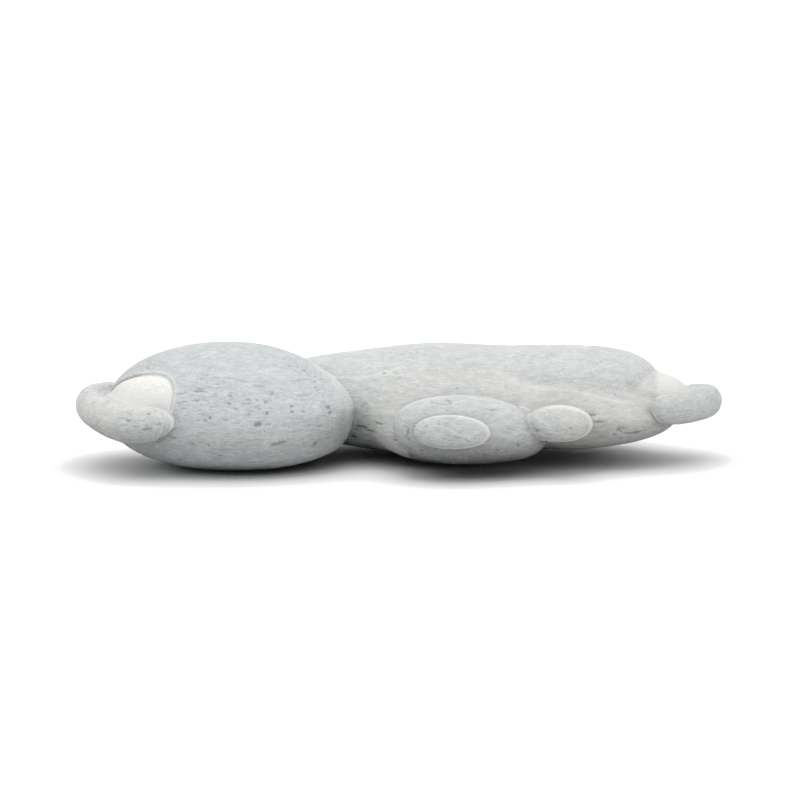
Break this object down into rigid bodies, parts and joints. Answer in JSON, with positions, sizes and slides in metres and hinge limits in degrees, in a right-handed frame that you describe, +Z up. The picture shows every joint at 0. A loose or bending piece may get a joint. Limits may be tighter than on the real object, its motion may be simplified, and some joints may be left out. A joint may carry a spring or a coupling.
{
  "type": "fairy stone",
  "caption": "Flat pale grey clay concretion with a domed head, a lobed body with paw and button lumps, and a curled lip at each end. It rests on small flat spots.",
  "frame": {"origin": "the middle of the stone's box, on the surface that it rests on", "axes": "+X along the stone's length, towards the end with the rump; +Y towards its back; +Z up, across its thickness"},
  "size_m": [0.149, 0.0902, 0.0282],
  "materials": {
    "stone": "matt, chalky"
  },
  "bodies": {
    "root": {"fairy_stone": "stone"}
  },
  "joints": []
}
